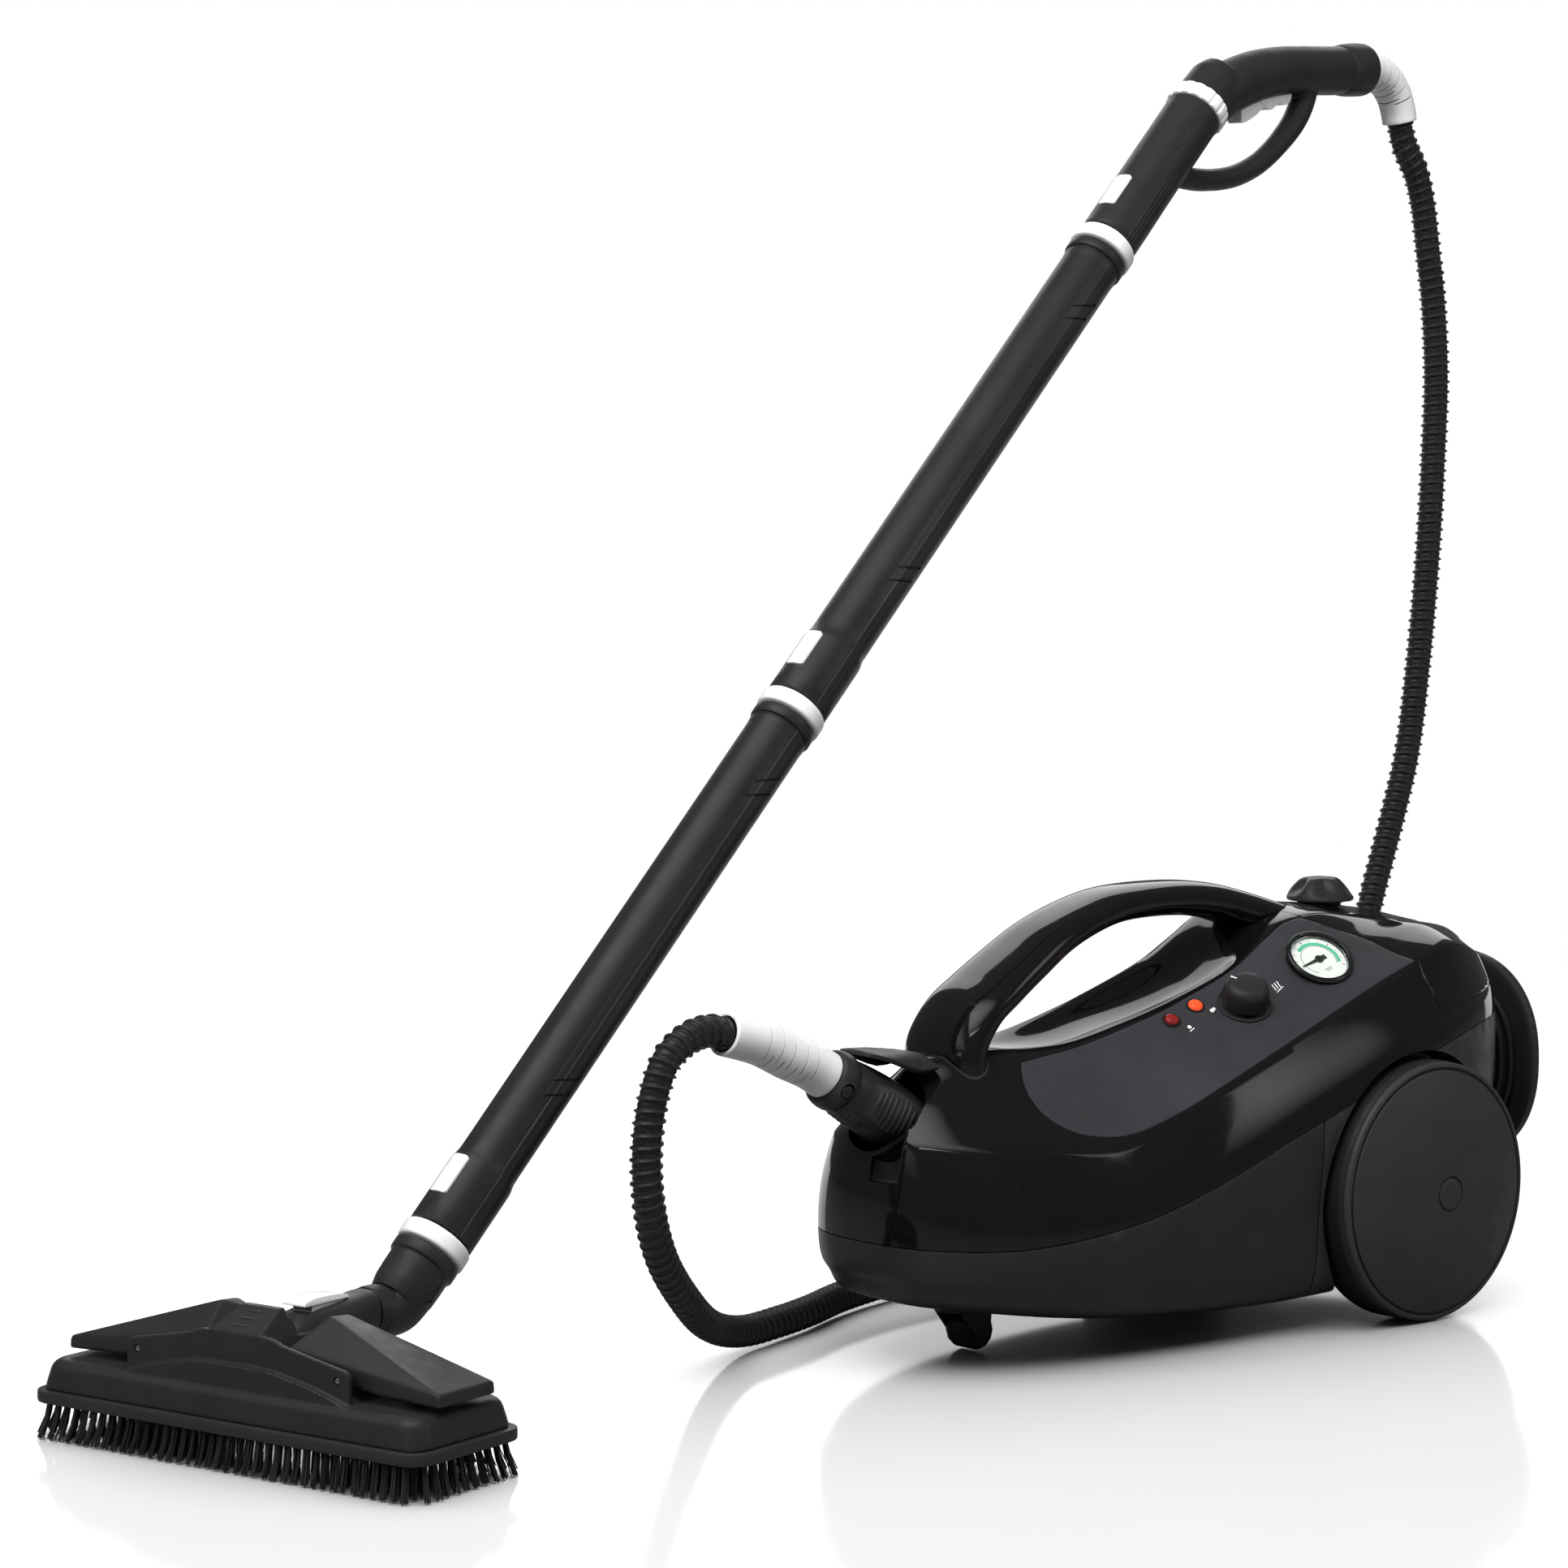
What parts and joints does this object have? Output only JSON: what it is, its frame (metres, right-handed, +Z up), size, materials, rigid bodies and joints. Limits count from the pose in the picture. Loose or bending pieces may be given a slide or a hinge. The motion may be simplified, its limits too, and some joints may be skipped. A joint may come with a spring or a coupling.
{
  "type": "steam cleaner",
  "caption": "Wheeled canister steam cleaner with carry handle, pressure gauge and knob, corrugated steam hose, trigger gun, straight extension tubes and rectangular floor brush.",
  "frame": {"origin": "middle of the footprint of the whole machine as set out, on the floor; the rear axle lies at X 0.294 m, Y -0.025 m, Z 0.090 m", "axes": "+Z up; -X towards the nose of the canister and the floor brush, +X towards the cord wrap; -Y is the side with the control panel, +Y the side with the wand and hose"},
  "size_m": [1.2424, 0.3586, 0.9033],
  "materials": {
    "gloss_shell": "high gloss black moulding",
    "matte_shell": "fine grained satin black moulding",
    "wheel_plastic": "satin dark grey moulding",
    "tyre": "satin black rubber",
    "steel": "brushed",
    "gauge_case": "dark gloss bezel round a pale dial",
    "pointer": "flat black",
    "lens": "clear",
    "soft_plastic": "satin charcoal moulding",
    "red_lamp": "clear red",
    "brass": "turned",
    "copper_pipe": "drawn copper",
    "rubber": "satin black",
    "white_plastic": "satin white moulding",
    "bristle": "fine black filament"
  },
  "bodies": {
    "canister": {"upper_shell": "gloss_shell", "control_panel": "matte_shell", "rear_cover": "gloss_shell", "carry_handle": "gloss_shell", "wheel_arch_near": "matte_shell", "wheel_arch_far": "matte_shell", "lower_shell": "matte_shell", "axle_stub_near": "steel", "axle_stub_far": "steel", "gauge_case": "gauge_case", "gauge_lens": "lens", "selector_switch": "soft_plastic", "lamp_ready": "red_lamp", "lamp_water": "red_lamp", "boiler_front": "steel", "boiler_rear": "steel", "heating_element": "steel", "filler_neck": "brass", "thermostat": "soft_plastic", "pressure_switch": "soft_plastic", "solenoid_valve": "brass", "steam_pipe_rear": "copper_pipe", "steam_socket": "brass", "cord_wrap": "matte_shell", "power_cord": "rubber", "hose_plug": "soft_plastic", "plug_strain_relief": "white_plastic", "steam_hose": "rubber"},
    "near_wheel": {"wheel_near": "tyre", "wheel_cover_near": "wheel_plastic"},
    "far_wheel": {"wheel_far": "tyre", "wheel_cover_far": "wheel_plastic"},
    "caster_swivel": {"caster_fork": "matte_shell"},
    "caster_wheel": {"caster_roller": "tyre"},
    "gauge_needle": {"gauge_pointer": "pointer"},
    "knob": {"power_knob": "soft_plastic"},
    "cap_seal": {"filler_seal": "rubber"},
    "cap": {"filler_cap": "soft_plastic"},
    "flap": {"socket_flap": "soft_plastic"},
    "release_button": {"plug_button": "soft_plastic"},
    "wand": {"gun_body": "soft_plastic", "gun_strain_relief": "white_plastic", "lock_ring_upper": "white_plastic", "lock_ring_middle": "white_plastic", "lock_ring_lower": "white_plastic", "upper_tube": "soft_plastic", "lower_tube": "soft_plastic", "elbow": "soft_plastic"},
    "wand_button_top": {"gun_button": "white_plastic"},
    "wand_button_middle": {"upper_tube_button": "white_plastic"},
    "wand_button_low": {"lower_tube_button": "white_plastic"},
    "regulator": {"steam_regulator": "white_plastic"},
    "steam_trigger": {"trigger": "white_plastic"},
    "neck_swivel": {"neck": "soft_plastic"},
    "neck_lock": {"neck_slider": "white_plastic"},
    "floor_brush": {"brush_head": "soft_plastic", "brush_plate": "soft_plastic", "bristles": "bristle"},
    "jaw_far": {"clamp_jaw_far": "soft_plastic"},
    "jaw_near": {"clamp_jaw_near": "soft_plastic"}
  },
  "joints": [
    {"name": "near_wheel_spin", "type": "hinge", "parent": "canister", "child": "near_wheel", "pos_m": [0.29369, -0.14534, 0.09], "axis": [0, 1, 0], "continuous": true},
    {"name": "far_wheel_spin", "type": "hinge", "parent": "canister", "child": "far_wheel", "pos_m": [0.29369, 0.09466, 0.09], "axis": [0, 1, 0], "continuous": true},
    {"name": "caster_turn", "type": "hinge", "parent": "canister", "child": "caster_swivel", "pos_m": [-0.02431, -0.02534, 0.03], "axis": [0, 0, 1], "continuous": true},
    {"name": "caster_roll", "type": "hinge", "parent": "caster_swivel", "child": "caster_wheel", "pos_m": [-0.01231, -0.02534, 0.013], "axis": [0, 1, 0], "continuous": true},
    {"name": "gauge_needle_turn", "type": "hinge", "parent": "canister", "child": "gauge_needle", "pos_m": [0.24549, -0.09882, 0.24868], "axis": [-0.2438, -0.601, 0.7612], "range_deg": [-180, 60]},
    {"name": "knob_turn", "type": "hinge", "parent": "canister", "child": "knob", "pos_m": [0.17594, -0.09545, 0.22468], "axis": [-0.3113, -0.4606, 0.8313], "range_deg": [-150, 120]},
    {"name": "seal_lift", "type": "slide", "parent": "canister", "child": "cap_seal", "axis": [0, 0, 1], "range_m": [0, 0.0091]},
    {"name": "cap_unscrew", "type": "hinge", "parent": "cap_seal", "child": "cap", "pos_m": [0.32469, -0.02534, 0.28], "axis": [0, 0, 1], "range_deg": [0, 1080]},
    {"name": "flap_lift", "type": "hinge", "parent": "canister", "child": "flap", "pos_m": [-0.06197, -0.02534, 0.19773], "axis": [0, 1, 0], "range_deg": [0, 25]},
    {"name": "release_button_press", "type": "slide", "parent": "canister", "child": "release_button", "axis": [0, 1, 0], "range_m": [0, 0.002]},
    {"name": "wand_travel", "type": "slide", "parent": "canister", "child": "wand", "axis": [0.9963, 0.0862, 0], "range_m": [-0.12, 0.05], "deforming": ["steam_hose"]},
    {"name": "top_button_press", "type": "slide", "parent": "wand", "child": "wand_button_top", "axis": [0.7088, 0.0613, -0.7027], "range_m": [0, 0.0025]},
    {"name": "middle_button_press", "type": "slide", "parent": "wand", "child": "wand_button_middle", "axis": [0.7088, 0.0613, -0.7027], "range_m": [0, 0.0025]},
    {"name": "low_button_press", "type": "slide", "parent": "wand", "child": "wand_button_low", "axis": [0.7088, 0.0613, -0.7027], "range_m": [0, 0.0025]},
    {"name": "regulator_turn", "type": "hinge", "parent": "wand", "child": "regulator", "pos_m": [0.21729, 0.09076, 0.73935], "axis": [0.7001, 0.0606, 0.7114], "range_deg": [0, 90]},
    {"name": "trigger_pull", "type": "hinge", "parent": "wand", "child": "steam_trigger", "pos_m": [0.41854, 0.10817, 0.86595], "axis": [-0.0862, 0.9963, 0], "range_deg": [0, 8]},
    {"name": "neck_roll", "type": "hinge", "parent": "wand", "child": "neck_swivel", "pos_m": [-0.45988, 0.03122, 0.075], "axis": [0.9659, 0.2588, 0], "range_deg": [-20, 20]},
    {"name": "neck_lock_slide", "type": "slide", "parent": "neck_swivel", "child": "neck_lock", "axis": [0.9659, 0.2588, 0], "range_m": [-0.004, 0.001]},
    {"name": "brush_pitch", "type": "hinge", "parent": "neck_swivel", "child": "floor_brush", "pos_m": [-0.52718, 0.01733, 0.066], "axis": [-0.2588, 0.9659, 0], "range_deg": [-12, 45]},
    {"name": "jaw_far_lift", "type": "hinge", "parent": "floor_brush", "child": "jaw_far", "pos_m": [-0.5215, 0.11203, 0.0564], "axis": [-0.2588, 0.9659, 0], "range_deg": [0, 35]},
    {"name": "jaw_near_lift", "type": "hinge", "parent": "floor_brush", "child": "jaw_near", "pos_m": [-0.47491, -0.06184, 0.0564], "axis": [-0.2588, 0.9659, 0], "range_deg": [0, 35]}
  ],
  "couplings": [
    {"joint": "seal_lift", "follows": "cap_unscrew", "m_per_rad": 0.00047746}
  ]
}
